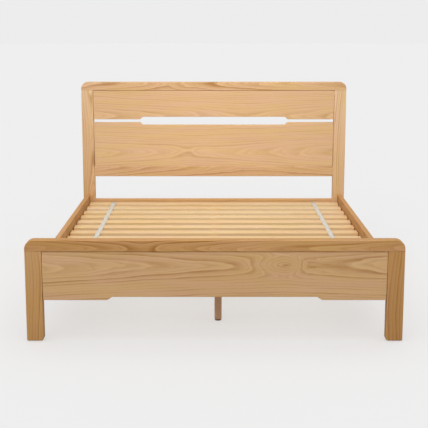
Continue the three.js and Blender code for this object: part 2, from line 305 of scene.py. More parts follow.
def build_wood_figure():
    """Growth rings, fibres, pores and broad tone of a board.

    Grain holds a point's place from the board's pith, with X along the grain. Board holds its
    seed and the height of the swirl round its knot.
    """
    net, source, sink = new_group(
        "wood_figure", "ShaderNodeTree",
        (("Grain", "Vector", None), ("Board", "Vector", None), ("Ring Width", "Float", 0.009),
         ("Wander", "Float", 0.03), ("Arch Slope", "Float", 0.06), ("Ripple", "Float", 0.004)),
        (("Line", "Float", None), ("Fibre", "Float", None), ("Pore", "Float", None),
         ("Cloud", "Float", None), ("Knot", "Float", None), ("Blush", "Float", None)))
    x, y, z = net.parts(source["Grain"])
    seed, swirl, _ = net.parts(source["Board"])

    def stretched(along, across):
        return net.joined(*(net.math("MULTIPLY", part, factor)
                            for part, factor in ((x, along), (y, across), (z, across))))

    def seeded(step):
        return net.math("ADD", seed, step)

    # The rings are distances from a pith line that wanders slowly.
    drift = net.noise(stretched(1.1, 6.0), seeded(0.0), 2.5, 0.5, coloured=True)
    drift_y, drift_z, _ = net.parts(net.vector("SUBTRACT", drift, (0.5, 0.5, 0.5)))
    ring_y = net.math("MULTIPLY_ADD", drift_y, source["Wander"], y)
    ring_z = net.math("MULTIPLY_ADD", drift_z, source["Wander"], z)
    radius = net.vector("LENGTH", net.joined(0.0, ring_y, ring_z))
    far = net.math("SQRT", net.math("MULTIPLY_ADD", x, x, 0.0012))
    arch = net.math("MULTIPLY", far, source["Arch Slope"])
    # The swirl reaches further on one side of its knot.
    reach = net.smooth(x, -0.03, 0.03, 0.105, 0.050)
    knot = bell(net, x, y, reach, 0.034)
    lift = net.math("MULTIPLY", swirl, knot)
    # Beside a knot the lines ripple.
    beside = bell(net, net.math("SUBTRACT", x, 0.115), y, 0.065, 0.040)
    strain = net.math("MULTIPLY", net.math("MULTIPLY", beside, swirl), 110.0)
    shiver = net.math("SUBTRACT", net.noise(stretched(9.0, 48.0), seeded(3.0), 2.0), 0.5)
    amount = net.math("MULTIPLY", net.math("ADD", strain, 1.0), source["Ripple"])
    distance = net.math("ADD", net.math("SUBTRACT", radius, arch), lift)
    distance = net.math("MULTIPLY_ADD", shiver, amount, distance)
    count = net.math("DIVIDE", distance, source["Ring Width"])
    phase = net.math("FRACT", count)
    index = net.math("FLOOR", count)
    white = net.node("ShaderNodeTexWhiteNoise", {"noise_dimensions": "2D"},
                     Vector=net.joined(index, seed, 0.0))
    strength = net.math("MULTIPLY_ADD", white.outputs["Value"], 0.8, 0.2)
    broken = net.smooth(net.noise(stretched(4.0, 34.0), seeded(5.0), 2.0), 0.30, 0.65, 0.45, 1.0)
    line = net.math("MULTIPLY", ring_line(net, phase), net.math("MULTIPLY", strength, broken))
    # Each wide ring holds three narrow ones.
    narrow = ring_line(net, net.math("FRACT", net.math("MULTIPLY", count, 3.0)))
    line = net.math("MAXIMUM", line, net.math("MULTIPLY", narrow, 0.34))
    fine = net.noise(stretched(4.5, 300.0), seeded(7.0), 3.0, 0.62)
    streak = net.noise(stretched(1.6, 75.0), seeded(9.0), 3.0, 0.6)
    fibre = net.math("MULTIPLY", net.math("ADD", fine, streak), 0.5)
    dashes = net.smooth(net.noise(stretched(60.0, 1500.0), seeded(11.0), 1.0), 0.58, 0.72)
    pore = net.math("MULTIPLY", dashes, net.math("MULTIPLY_ADD", line, 0.75, 0.25))
    cloud = net.noise(stretched(0.9, 3.5), seeded(13.0), 2.0)
    blush = net.smooth(net.noise(stretched(3.2, 30.0), seeded(15.0), 3.0), 0.30, 0.70, -1.0)
    core = bell(net, x, net.math("MULTIPLY_ADD", x, -0.12, y), 0.017, 0.0055)
    has_knot = net.math("MINIMUM", net.math("MULTIPLY", swirl, 60.0), 1.0)
    for name, value in (("Line", line), ("Fibre", fibre), ("Pore", pore), ("Cloud", cloud),
                        ("Knot", net.math("MULTIPLY", core, has_knot)), ("Blush", blush)):
        net.put(sink[name], value)


def build_wood_colour():
    """Colour, roughness and height of a lacquered or planed board from its figure."""
    net, source, sink = new_group(
        "wood_colour", "ShaderNodeTree",
        (("Line", "Float", 0.0), ("Fibre", "Float", 0.5), ("Pore", "Float", 0.0),
         ("Cloud", "Float", 0.5), ("Knot", "Float", 0.0), ("Blush", "Float", 0.0),
         ("Pale", "Float", 0.0), ("End Grain", "Float", 0.0), ("Eased", "Float", 0.0),
         ("Light", "Color", None), ("Warm", "Color", None), ("Dark", "Color", None),
         ("Palest", "Color", None), ("Line Depth", "Float", 0.5), ("Fibre Depth", "Float", 0.25),
         ("Base Roughness", "Float", 0.45)),
        (("Color", "Color", None), ("Roughness", "Float", None), ("Height", "Float", None)))
    base = net.mix(net.smooth(source["Cloud"], 0.34, 0.66), source["Light"], source["Warm"])
    base = net.mix(source["Pale"], base, source["Palest"])
    # Paleness below nothing darkens, as painted shade, and the eased edges get a painted
    # highlight.
    shade = net.math("MULTIPLY_ADD", net.math("MINIMUM", source["Pale"], 0.0), 0.5, 1.0)
    shade = net.math("MULTIPLY_ADD", source["Eased"], 0.14, shade)
    base = net.scaled(base, shade)
    # Broad patches lean to pink or to yellow.
    base = net.leaned(base, source["Blush"], (0.010, -0.008, 0.11))
    depth = net.math("MULTIPLY", source["Line Depth"],
                     net.math("MULTIPLY_ADD", source["Pale"], -0.30, 1.0))
    lined = net.mix(net.math("MULTIPLY", source["Line"], depth), base, source["Dark"])
    lined = net.mix(net.math("MULTIPLY", source["Knot"], 0.55), lined, source["Dark"])
    pored = net.mix(net.math("MULTIPLY", source["Pore"], 0.5), lined, source["Dark"])
    sway = net.math("SUBTRACT", source["Fibre"], 0.5)
    # A darker fibre is also a redder one, and end grain is darker.
    swing = net.math("MULTIPLY", sway, source["Fibre Depth"])
    streaked = net.leaned(pored, swing, (0.75, 1.0, 1.6))
    ends = net.math("MULTIPLY_ADD", source["End Grain"], -0.22, 1.0)
    net.put(sink["Color"], net.scaled(streaked, ends))
    rough = net.math("MULTIPLY_ADD", source["Fibre"], 0.16, source["Base Roughness"])
    rough = net.math("MULTIPLY_ADD", source["Pore"], 0.22, rough)
    net.put(sink["Roughness"], rough)
    height = net.math("MULTIPLY_ADD", source["Line"], -0.35, net.math("MULTIPLY", sway, 0.5))
    net.put(sink["Height"], net.math("MULTIPLY_ADD", source["Pore"], -0.9, height))


def new_material(name):
    """A material with a net for its tree and its Principled BSDF."""
    material = bpy.data.materials.new(name)
    material.use_nodes = True
    net = Net(material.node_tree)
    shader = material.node_tree.nodes["Principled BSDF"]
    return material, net, shader


def bump(net, shader, height, strength, distance):
    made = net.node("ShaderNodeBump", Height=height, Strength=strength, Distance=distance)
    net.put(shader.inputs["Normal"], made.outputs["Normal"])


def wood_material(slot, tones, cut, depth, roughness, coat=0.0):
    """A wood whose boards differ by the place, seed and paleness stored on their meshes.

    Tones are its light, warm, dark and palest colours. Cut gives its ring width, how far the pith
    wanders, the slope of the arches and the ripple. Depth is how dark its lines are.
    """
    _, net, shader = new_material(FINISHES[slot])
    drawn = net.node("ShaderNodeGroup", {"node_tree": bpy.data.node_groups["wood_figure"]})
    board = net.attribute("board", "Vector")
    net.put(drawn.inputs["Grain"], net.attribute("grain", "Vector"))
    net.put(drawn.inputs["Board"], board)
    for key, value in zip(("Ring Width", "Wander", "Arch Slope", "Ripple"), cut):
        drawn.inputs[key].default_value = value
    tinted = net.node("ShaderNodeGroup", {"node_tree": bpy.data.node_groups["wood_colour"]})
    for key in ("Line", "Fibre", "Pore", "Cloud", "Knot", "Blush"):
        net.put(tinted.inputs[key], drawn.outputs[key])
    net.put(tinted.inputs["Pale"], net.parts(board)[2])
    net.put(tinted.inputs["End Grain"], net.attribute("end_grain", "Fac"))
    # Eased edges: the finish paints a highlight on them.
    net.put(tinted.inputs["Eased"], net.attribute("eased", "Fac"))
    for key, value in zip(("Light", "Warm", "Dark", "Palest"), tones):
        tinted.inputs[key].default_value = opaque(value)
    boldness = net.attribute("boldness", "Fac")
    net.put(tinted.inputs["Line Depth"], net.math("MULTIPLY", boldness, depth))
    tinted.inputs["Base Roughness"].default_value = roughness
    net.put(shader.inputs["Base Color"], tinted.outputs["Color"])
    net.put(shader.inputs["Roughness"], tinted.outputs["Roughness"])
    shader.inputs["Specular IOR Level"].default_value = 0.35
    shader.inputs["Coat Weight"].default_value = coat
    shader.inputs["Coat Roughness"].default_value = 0.35
    bump(net, shader, tinted.outputs["Height"], 0.35, 0.0004)


def steel_material():
    """Bright zinc plate: faint blotches, fine scratches and a little dulling."""
    _, net, shader = new_material(FINISHES["zinc_steel"])
    place = net.node("ShaderNodeTexCoord").outputs["Object"]
    blotch = net.noise(net.scaled(place, 160.0), 1.0, 3.0)
    scratch = net.noise(net.vector("MULTIPLY", place, (1800.0, 1800.0, 90.0)), 2.0, 2.0)
    tone = net.smooth(blotch, 0.3, 0.7, 0.80, 1.05)
    net.put(shader.inputs["Base Color"], net.scaled(tuple(colours().steel), tone))
    shader.inputs["Metallic"].default_value = 1.0
    rough = net.math("MULTIPLY_ADD", scratch, 0.22, 0.20)
    net.put(shader.inputs["Roughness"], net.math("MULTIPLY_ADD", blotch, 0.12, rough))
    bump(net, shader, scratch, 0.15, 0.0001)


def plastic_material():
    """Dark moulded plastic with a fine spark-eroded grain and pale scuffs."""
    _, net, shader = new_material(FINISHES["glide_plastic"])
    place = net.node("ShaderNodeTexCoord").outputs["Object"]
    grit = net.noise(net.scaled(place, 2600.0), 3.0, 2.0)
    scuff = net.smooth(net.noise(net.scaled(place, 240.0), 4.0, 3.0), 0.55, 0.75)
    dark = colours().plastic
    worn = [min(1.0, 1.8 * part + 0.02) for part in dark]
    net.put(shader.inputs["Base Color"], net.mix(scuff, opaque(dark), opaque(worn)))
    net.put(shader.inputs["Roughness"], net.math("MULTIPLY_ADD", scuff, 0.2, 0.42))
    bump(net, shader, grit, 0.3, 0.0001)


def webbing_material():
    """A flat woven tape: ribs of warp along it and picks of weft across it, with painted shade in
    the hollows between the threads.
    """
    _, net, shader = new_material(FINISHES["webbing"])
    warp_pitch, weft_pitch = 0.0016, 0.0022
    across, along, _ = net.parts(net.attribute("weave", "Vector"))
    warp = net.math("SINE", net.math("MULTIPLY", across, 2 * math.pi / warp_pitch))
    shift = net.math("MULTIPLY", net.math("SIGN", warp), 0.25)
    picks = net.math("ADD", net.math("DIVIDE", along, weft_pitch), shift)
    weft = net.math("SINE", net.math("MULTIPLY", picks, 2 * math.pi))
    lift = net.math("MULTIPLY_ADD", weft, 0.5, 0.5)
    thread = net.math("MULTIPLY", net.math("ABSOLUTE", warp), lift)
    tape = net.joined(across, along, 0.0)
    fuzz = net.noise(net.vector("MULTIPLY", tape, (900.0, 400.0, 0.0)), 5.0)
    # Painted shade: the threads' tops are lighter and the hollows between them darker, with a
    # random fuzz of tone.
    shade = net.math("MULTIPLY_ADD", thread, 0.35, 0.68)
    shade = net.math("MULTIPLY", shade, net.math("MULTIPLY_ADD", fuzz, 0.3, 0.85))
    net.put(shader.inputs["Base Color"], net.scaled(tuple(colours().webbing), shade))
    net.put(shader.inputs["Roughness"], net.math("MULTIPLY_ADD", fuzz, 0.1, 0.82))
    shader.inputs["Sheen Weight"].default_value = 0.2
    bump(net, shader, thread, 0.6, 0.0004)


def material(slot):
    return bpy.data.materials[FINISHES[slot]]


# ---------------------------------------------------------------- meshes

def add_object(name, mesh):
    made = bpy.data.objects.new(name, mesh)
    bpy.context.scene.collection.objects.link(made)
    return made


def mesh_from(bm, name):
    bmesh.ops.recalc_face_normals(bm, faces=bm.faces)
    mesh = bpy.data.meshes.new(name)
    bm.to_mesh(mesh)
    bm.free()
    mesh.shade_smooth()
    return mesh


def settled(obj, spent=()):
    """The object with its modifiers applied to its mesh, and without the spent cutters."""
    graph = bpy.context.evaluated_depsgraph_get()
    mesh = bpy.data.meshes.new_from_object(
        obj.evaluated_get(graph), preserve_all_data_layers=True, depsgraph=graph)
    mesh.name = obj.name
    old = obj.data
    obj.modifiers.clear()
    obj.data = mesh
    bpy.data.meshes.remove(old)
    for cutter in spent:
        bpy.data.objects.remove(cutter)
    return obj


def add_cuts(obj, cutters):
    for cutter in cutters:
        cut = obj.modifiers.new("cut", "BOOLEAN")
        cut.operation = "DIFFERENCE"
        cut.solver = "EXACT"
        cut.object = cutter


def soften(obj, width, cutters=()):
    """Rounds the weighted edges, cuts with the given objects and keeps flat faces flat."""
    bevel = obj.modifiers.new("ease", "BEVEL")
    bevel.limit_method = "WEIGHT"
    bevel.width = width
    bevel.segments = 4
    bevel.use_clamp_overlap = False
    add_cuts(obj, cutters)
    normals = obj.modifiers.new("flats", "WEIGHTED_NORMAL")
    normals.keep_sharp = True
    normals.weight = 100
    return settled(obj, cutters)


def add_block(bm, limits):
    """Adds a plain block between limits on each axis. Gives its centre and its size."""
    centre = Vector([sum(pair) / 2 for pair in limits])
    size = Vector([pair[1] - pair[0] for pair in limits])
    place = Matrix.Translation(centre) @ Matrix.Diagonal((*size, 1.0))
    bmesh.ops.create_cube(bm, size=1.0, matrix=place)
    return centre, size


def add_prism(bm, rings):
    """Closes two matching rings of vertices into a solid."""
    bm.faces.new(rings[0])
    bm.faces.new(reversed(rings[1]))
    for index in range(len(rings[0])):
        ahead = (index + 1) % len(rings[0])
        bm.faces.new((rings[0][ahead], rings[0][index], rings[1][index], rings[1][ahead]))


def add_skin(bm, rings, sides):
    """Joins each ring of vertices to the next. A ring of one vertex is a point."""
    for lower, upper in zip(rings, rings[1:]):
        for step in range(sides):
            ahead = (step + 1) % sides
            corners = [lower[step % len(lower)], lower[ahead % len(lower)],
                       upper[ahead % len(upper)], upper[step % len(upper)]]
            bm.faces.new(list(dict.fromkeys(corners)))


def limits_of(node):
    """A node's two limits on each axis."""
    low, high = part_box(node)
    return [[low[axis], high[axis]] for axis in range(3)]


def middle_of(node):
    low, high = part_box(node)
    return (low + high) / 2


def underside(node):
    """The middle of a node's lowest face."""
    middle = middle_of(node)
    middle.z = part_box(node)[0].z
    return middle


def timber(name, limits, along, low_end=None, high_end=None, ease=None, cutters=()):
    """A straight timber with eased long edges and its own easing at each end."""
    ease = ease or edges().ease
    ends = [edges().joint_ease if end is None else end for end in (low_end, high_end)]
    bm = bmesh.new()
    weights = bm.edges.layers.float.new("bevel_weight_edge")
    centre, size = add_block(bm, limits)
    for edge in bm.edges:
        first, second = (vertex.co for vertex in edge.verts)
        if abs(first[along] - second[along]) > size[along] / 2:
            edge[weights] = 1.0
        else:
            edge[weights] = ends[first[along] > centre[along]] / ease
    obj = add_object(name, mesh_from(bm, name))
    return soften(obj, ease, cutters)


def fillet(points, radii, steps=5):
    """An outline with its corners rounded: each corner is an arc of its own radius."""
    outline = []
    for index, (corner, radius) in enumerate(zip(points, radii)):
        corner = Vector(corner)
        if radius <= 0.0:
            outline.append(corner)
            continue
        back = (Vector(points[index - 1]) - corner).normalized()
        ahead = (Vector(points[(index + 1) % len(points)]) - corner).normalized()
        half = back.angle(ahead) / 2
        middle = corner + (back + ahead).normalized() * (radius / math.sin(half))
        start = corner + back * (radius / math.tan(half)) - middle
        finish = corner + ahead * (radius / math.tan(half)) - middle
        turn = start.angle_signed(finish)
        for step in range(steps + 1):
            angle = turn * step / steps
            spun = Vector((start.x * math.cos(angle) + start.y * math.sin(angle),
                           start.y * math.cos(angle) - start.x * math.sin(angle)))
            outline.append(middle + spun)
    return outline


def board(name, outline, depth, eased):
    """A board cut to an outline in x and z. eased gives the easing of the edge at a point."""
    bm = bmesh.new()
    weights = bm.edges.layers.float.new("bevel_weight_edge")
    rings = [[bm.verts.new((point.x, y, point.y)) for point in outline] for y in depth]
    add_prism(bm, rings)
    for index, point in enumerate(outline):
        ahead = (index + 1) % len(outline)
        weight = eased((point + outline[ahead]) / 2) / edges().ease
        for ring in rings:
            bm.edges.get((ring[index], ring[ahead]))[weights] = weight
    return soften(add_object(name, mesh_from(bm, name)), edges().ease)


def rod(name, along, centre, radius, reach):
    """A round bar, level along X or upright along Z, used as a cutter."""
    bm = bmesh.new()
    turn = Matrix.Rotation(math.pi / 2 if along == ALONG_X else 0.0, 4, "Y")
    bmesh.ops.create_cone(bm, cap_ends=True, segments=32, radius1=radius, radius2=radius,
                          depth=2 * reach, matrix=Matrix.Translation(centre) @ turn)
    return add_object(name, mesh_from(bm, name))


def store(mesh, name, kind, domain, values):
    attribute = mesh.attributes.new(name, kind, domain)
    attribute.data.foreach_set("vector" if kind == "FLOAT_VECTOR" else "value",
                               np.ascontiguousarray(values, np.float32).ravel())


def vertex_places(mesh):
    places = np.zeros(len(mesh.vertices) * 3, np.float32)
    mesh.vertices.foreach_get("co", places)
    return places.reshape(-1, 3)


class Figure:
    """How one board was cut from its tree."""

    def __init__(self, along, face, pith=(0.0, 0.09), peak=0.0, swirl=0.0, seed=1.0, pale=0.0,
                 pale_top=None, bold=1.0):
        self.along = along
        self.face = face
        self.across = 3 - along - face
        self.pith = pith
        self.peak = peak
        self.swirl = swirl
        self.seed = seed
        self.pale = pale
        # Paleness at the upper end: on the posts, painted light at the top over painted shade at
        # the foot.
        self.pale_top = pale if pale_top is None else pale_top
        self.bold = bold

    def grain(self, places, centre):
        """Each point's place from the pith, with the first number along the grain."""
        return np.stack((
            places[:, self.along] - centre[self.along] - self.peak,
            places[:, self.across] - centre[self.across] - self.pith[0],
            places[:, self.face] - centre[self.face] + self.pith[1]), axis=1)

    def board(self, places):
        """Seed, swirl and paleness, which may change evenly from one end to the other: on the
        posts painted shade towards the foot and painted light towards the top.
        """
        run = places[:, self.along]
        share = (run - run.min()) / (run.max() - run.min())
        pale = self.pale + (self.pale_top - self.pale) * share
        seed, swirl = np.full(len(run), self.seed), np.full(len(run), self.swirl)
        return np.stack((seed, swirl, pale), axis=1)


def end_faces(mesh, along):
    """How far each face turns across the grain, from 0 on the sides to 1 on the ends."""
    return [max(0.0, abs(polygon.normal[along]) * 2 - 1) for polygon in mesh.polygons]


def painted_highlight_faces(mesh, face):
    """How far each face belongs to an eased edge of the board's show face, which gets a painted
    highlight.
    """
    return [2 * abs(normal[face]) * math.sqrt(max(0.0, 1.0 - normal[face] ** 2))
            for normal in (polygon.normal for polygon in mesh.polygons)]


def finish_wood(obj, wood, figure, nodes):
    """Gives a timber its figure, wood and body, and the frame nodes that it stands for."""
    places = vertex_places(obj.data)
    centre = (places.min(0) + places.max(0)) / 2
    store(obj.data, "grain", "FLOAT_VECTOR", "POINT", figure.grain(places, centre))
    store(obj.data, "board", "FLOAT_VECTOR", "POINT", figure.board(places))
    store(obj.data, "boldness", "FLOAT", "POINT", np.full(len(places), figure.bold))
    store(obj.data, "end_grain", "FLOAT", "FACE", end_faces(obj.data, figure.along))
    # The eased edges' share, which the finish paints lighter as a highlight.
    store(obj.data, "eased", "FLOAT", "FACE", painted_highlight_faces(obj.data, figure.face))
    finish(obj, wood, nodes)


def finish(obj, slot, nodes, body=ROOT):
    obj.data.materials.clear()
    obj.data.materials.append(material(slot))
    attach(obj, body)
    if nodes:
        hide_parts(*nodes)


# ---------------------------------------------------------------- repeated pieces

def build_on_points():
    """A tree that puts a part on every point, facing the way that the point's vector says."""
    net, source, sink = new_group(
        "part_on_points", "GeometryNodeTree",
        (("Geometry", "Geometry", None), ("Part", "Object", None), ("Finish", "Material", None),
         ("Largest Turn", "Float", 0.0), ("Seed", "Int", 0)),
        (("Geometry", "Geometry", None),))
    facing = net.node("GeometryNodeInputNamedAttribute", {"data_type": "FLOAT_VECTOR"},
                      Name="facing").outputs["Attribute"]
    aligned = net.node("FunctionNodeAlignRotationToVector", {"axis": "Z"}, Vector=facing)
    spin = net.node("FunctionNodeRandomValue", {"data_type": "FLOAT"}, Seed=source["Seed"])
    net.put(spin.inputs[2], 0.0)
    net.put(spin.inputs[3], source["Largest Turn"])
    about_z = net.node("ShaderNodeCombineXYZ", Z=spin.outputs[1]).outputs["Vector"]
    turned = net.node("FunctionNodeRotateRotation", {"rotation_space": "LOCAL"},
                      Rotation=aligned.outputs["Rotation"])
    net.put(turned.inputs["Rotate By"], about_z)
    part = net.node("GeometryNodeObjectInfo", {"transform_space": "ORIGINAL"},
                    Object=source["Part"])
    placed = net.node("GeometryNodeInstanceOnPoints", Points=source["Geometry"],
                      Instance=part.outputs["Geometry"], Rotation=turned.outputs["Rotation"])
    real = net.node("GeometryNodeRealizeInstances", Geometry=placed.outputs["Instances"])
    painted = net.node("GeometryNodeSetMaterial", Geometry=real.outputs["Geometry"],
                       Material=source["Finish"])
    net.put(sink["Geometry"], painted.outputs["Geometry"])


def build_slat_row():
    """A tree that repeats one slat at an even pitch, each turned by a hair."""
    net, source, sink = new_group(
        "slat_row", "GeometryNodeTree",
        (("Geometry", "Geometry", None), ("Slat", "Object", None), ("Finish", "Material", None),
         ("Count", "Int", 14), ("First", "Vector", None), ("Pitch", "Float", 0.147),
         ("Largest Turn", "Float", 0.0), ("Seed", "Int", 0)),
        (("Geometry", "Geometry", None),))
    step = net.joined(0.0, source["Pitch"], 0.0)
    line = net.node("GeometryNodeMeshLine", {"mode": "OFFSET"}, Count=source["Count"], Offset=step)
    net.put(line.inputs["Start Location"], source["First"])
    slat = net.node("GeometryNodeObjectInfo", {"transform_space": "ORIGINAL"},
                    Object=source["Slat"])
    turn = net.node("FunctionNodeRandomValue", {"data_type": "FLOAT"}, Seed=source["Seed"])
    net.put(turn.inputs[2], net.math("MULTIPLY", source["Largest Turn"], -1.0))
    net.put(turn.inputs[3], source["Largest Turn"])
    placed = net.node("GeometryNodeInstanceOnPoints", Points=line.outputs["Mesh"],
                      Instance=slat.outputs["Geometry"])
    net.put(placed.inputs["Rotation"], net.joined(0.0, 0.0, turn.outputs[1]))
    real = net.node("GeometryNodeRealizeInstances", Geometry=placed.outputs["Instances"])
    painted = net.node("GeometryNodeSetMaterial", Geometry=real.outputs["Geometry"],
                       Material=source["Finish"])
    net.put(sink["Geometry"], painted.outputs["Geometry"])


def grow(obj, tree, values):
    """Runs a geometry tree on an object with named inputs and keeps the result as a mesh."""
    modifier = obj.modifiers.new("made", "NODES")
    modifier.node_group = tree
    for item in tree.interface.items_tree:
        if item.in_out == "INPUT" and item.name in values:
            modifier[item.identifier] = values[item.name]
    bpy.context.view_layer.update()
    return settled(obj)


def repeat(name, part, places, slot, turn=0.0, nodes=()):
    """Copies of a part on (place, facing) pairs, as one plain mesh."""
    mesh = bpy.data.meshes.new(name)
    mesh.from_pydata([place for place, _ in places], [], [])
    store(mesh, "facing", "FLOAT_VECTOR", "POINT", [facing for _, facing in places])
    obj = add_object(name, mesh)
    seed = bpy.context.scene.bed_fasteners.seed
    values = {"Part": part, "Finish": material(slot), "Largest Turn": turn, "Seed": seed}
    grow(obj, bpy.data.node_groups["part_on_points"], values)
    bpy.data.objects.remove(part)
    if "facing" in obj.data.attributes:
        obj.data.attributes.remove(obj.data.attributes["facing"])
    finish(obj, slot, nodes)


def turned_part(name, profile, sides=32):
    """A solid turned about Z from (radius, height) points that start and end on the axis."""
    bm = bmesh.new()
    rings = []
    for radius, height in profile:
        if radius == 0.0:
            rings.append([bm.verts.new((0.0, 0.0, height))])
            continue
        angles = (2 * math.pi * step / sides for step in range(sides))
        rings.append([bm.verts.new((radius * math.cos(a), radius * math.sin(a), height))
                      for a in angles])
    add_skin(bm, rings, sides)
    return mesh_from(bm, name)


# ---------------------------------------------------------------- end frames

def inner_faces(end):
    """Where the inner faces of one end frame's two posts stand."""
    left = limits_of(f"{end}board_post_left")
    right = limits_of(f"{end}board_post_right")
    return left[0][1], right[0][0]


def across_bed(**cut):
    """The figure of a board that runs across the bed."""
    return Figure(ALONG_X, ALONG_Y, **cut)


def upright(**cut):
    """The figure of a post."""
    return Figure(ALONG_Z, ALONG_Y, **cut)


OAK_FIGURES = {
    # The headboard's boards are set much paler than the footboard's: partly painted light for the
    # brighter-lit headboard, partly a paler tone.
    "footboard_top_rail": across_bed(
        pith=(-0.010, 0.060), peak=-0.30, swirl=0.006, seed=21.0, pale=0.02, bold=1.5),
    "headboard_top_rail": across_bed(
        pith=(0.012, 0.070), peak=-0.28, swirl=0.008, seed=24.0, pale=0.60, bold=1.6),
    # Each post's paleness rises from foot to top: painted shade low down, painted light higher up.
    "footboard_post_left": upright(
        pith=(0.090, 0.110), peak=0.1, seed=31.0, pale=-0.16, pale_top=0.18, bold=1.2),
    "footboard_post_right": upright(
        pith=(-0.075, 0.120), peak=-0.1, seed=32.0, pale=-0.24, pale_top=0.02, bold=1.3),
    "headboard_post_left": upright(
        pith=(0.030, 0.085), peak=0.2, seed=33.0, pale=0.12, pale_top=1.0, bold=1.5),
    "headboard_post_right": upright(
        pith=(-0.095, 0.100), seed=34.0, pale=0.60, pale_top=1.0, bold=1.4),
    "footboard_panel": across_bed(
        pith=(0.046, 0.105), peak=0.305, swirl=0.045, seed=41.0, pale=0.46, bold=1.2),
    "headboard_upper_panel": across_bed(
        pith=(-0.075, 0.110), peak=0.18, seed=43.0, pale=0.68, bold=0.85),
    "headboard_lower_panel": across_bed(
        pith=(-0.055, 0.100), peak=-0.16, swirl=0.004, seed=47.0, pale=0.72, bold=0.80),
    "headboard_middle_rail": across_bed(
        pith=(0.035, 0.120), peak=0.3, seed=51.0, pale=0.58, bold=1.5),
    "headboard_lower_rail": across_bed(pith=(-0.02, 0.090), peak=-0.2, seed=52.0, pale=0.30),
}


def finish_oak(obj, node):
    """Finishes an oak board of the end frames with its own figure."""
    finish_wood(obj, "oak", OAK_FIGURES[node], [node])


class BED_OT_posts(bpy.types.Operator):
    """Make the four posts"""

    bl_idname = "bed.posts"
    bl_label = "Posts"

    def execute(self, context):
        for end, _ in ENDS:
            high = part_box(f"{end}board_top_rail")[0].z
            for side, sign in SIDES:
                node = f"{end}board_post_{side}"
                (left, right), depth, (low, _) = limits_of(node)
                foot = (edges().foot_outer, edges().foot_inner)[::-sign]
                outline = fillet([(left, low), (right, low), (right, high), (left, high)],
                                 (*foot, 0.0, 0.0))

                def eased(middle, high=high):
                    return edges().joint_ease if middle.y > high - TOUCH else edges().ease

                finish_oak(board(f"oak_{node}", outline, depth, eased), node)
        return {"FINISHED"}


class BED_OT_cap_rails(bpy.types.Operator):
    """Make the two top rails with their rounded outer corners"""

    bl_idname = "bed.cap_rails"
    bl_label = "Top rails"

    def execute(self, context):
        for end, _ in ENDS:
            node = f"{end}board_top_rail"
            (left, right), depth, (low, high) = limits_of(node)
            corners = [(left, low), (right, low), (right, high), (left, high)]
            radius = edges().cap_radius
            outline = fillet(corners, (0.0, 0.0, radius, radius), steps=14)

            def eased(middle, low=low):
                return edges().joint_ease if middle.y < low + TOUCH else edges().ease

            finish_oak(board(f"oak_{node}", outline, depth, eased), node)
        return {"FINISHED"}


def cut_outline(xs, zs, half, run, rise):
    """A panel's outline with a long shallow cut: in its lower edge if rise is positive."""
    (left, right), (low, high) = xs, zs
    soft = edges().slot_corner
    if rise > 0:
        points = [(left, low), (-half, low), (-half + run, low + rise), (half - run, low + rise),
                  (half, low), (right, low), (right, high), (left, high)]
        radii = (0.0, soft, soft, soft, soft, 0.0, 0.0, 0.0)
    else:
        points = [(left, low), (right, low), (right, high), (half, high),
                  (half - run, high + rise), (-half + run, high + rise), (-half, high),
                  (left, high)]
        radii = (0.0, 0.0, 0.0, soft, soft, soft, soft, 0.0)
    return fillet(points, radii)


class BED_OT_panels(bpy.types.Operator):
    """Make the footboard's panel and the headboard's two panels with the slot between them"""

    bl_idname = "bed.panels"
    bl_label = "Panels"

    # How far a tongue stays in from the edges that show.
    tongue_inset = 0.01

    def panel(self, node, zs, cut):
        left, right = inner_faces(node.split("board")[0])
        reveal = edges().reveal
        depth = limits_of(node)[1]
        outline = cut_outline((left + reveal, right - reveal), zs, *cut)

        def eased(middle):
            tight = node == "headboard_lower_panel" and middle.y < zs[0] + TOUCH
            return edges().joint_ease if tight else edges().ease

        panel = board(f"oak_{node}", outline, depth, eased)
        self.add_tongue(panel, (left, right), zs, depth)
        finish_oak(panel, node)

    def add_tongue(self, panel, xs, zs, depth):
        """A thinner core that runs past the panel's ends and upper edge into the grooves."""
        sizes = edges()
        middle = sum(depth) / 2
        inset = sizes.slot_step + self.tongue_inset
        low, high = zs[0] + inset, zs[1] - inset
        if panel.name != "oak_headboard_lower_panel":
            high = zs[1] + 2 * sizes.reveal
        bm = bmesh.new()
        bm.from_mesh(panel.data)
        add_block(bm, ((xs[0] - sizes.reveal, xs[1] + sizes.reveal),
                       (middle - sizes.tongue / 2, middle + sizes.tongue / 2), (low, high)))
        bm.to_mesh(panel.data)
        bm.free()

    def execute(self, context):
        sizes = edges()
        foot_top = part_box("footboard_top_rail")[0].z - sizes.reveal
        head_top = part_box("headboard_top_rail")[0].z - sizes.reveal
        head_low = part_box("headboard_middle_rail")[1].z + PLAY
        slot = (sizes.slot_half_length, sizes.slot_step)
        self.panel("footboard_panel", (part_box("footboard_panel")[0].z, foot_top),
                   (sizes.cut_half_length, sizes.cut_run, sizes.cut_rise))
        self.panel("headboard_upper_panel", (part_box("headboard_upper_panel")[0].z, head_top),
                   (*slot, sizes.slot_step))
        self.panel("headboard_lower_panel", (head_low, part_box("headboard_lower_panel")[1].z),
                   (*slot, -sizes.slot_step))
        return {"FINISHED"}


class BED_OT_cross_rails(bpy.types.Operator):
    """Make the headboard's two cross rails"""

    bl_idname = "bed.cross_rails"
    bl_label = "Cross rails"

    def execute(self, context):
        for node in ("headboard_middle_rail", "headboard_lower_rail"):
            limits = limits_of(node)
            limits[ALONG_X] = inner_faces("head")
            rail = timber(f"oak_{node}", limits, ALONG_X, ease=edges().rail_ease)
            finish_oak(rail, node)
        return {"FINISHED"}


# ---------------------------------------------------------------- sides and slats

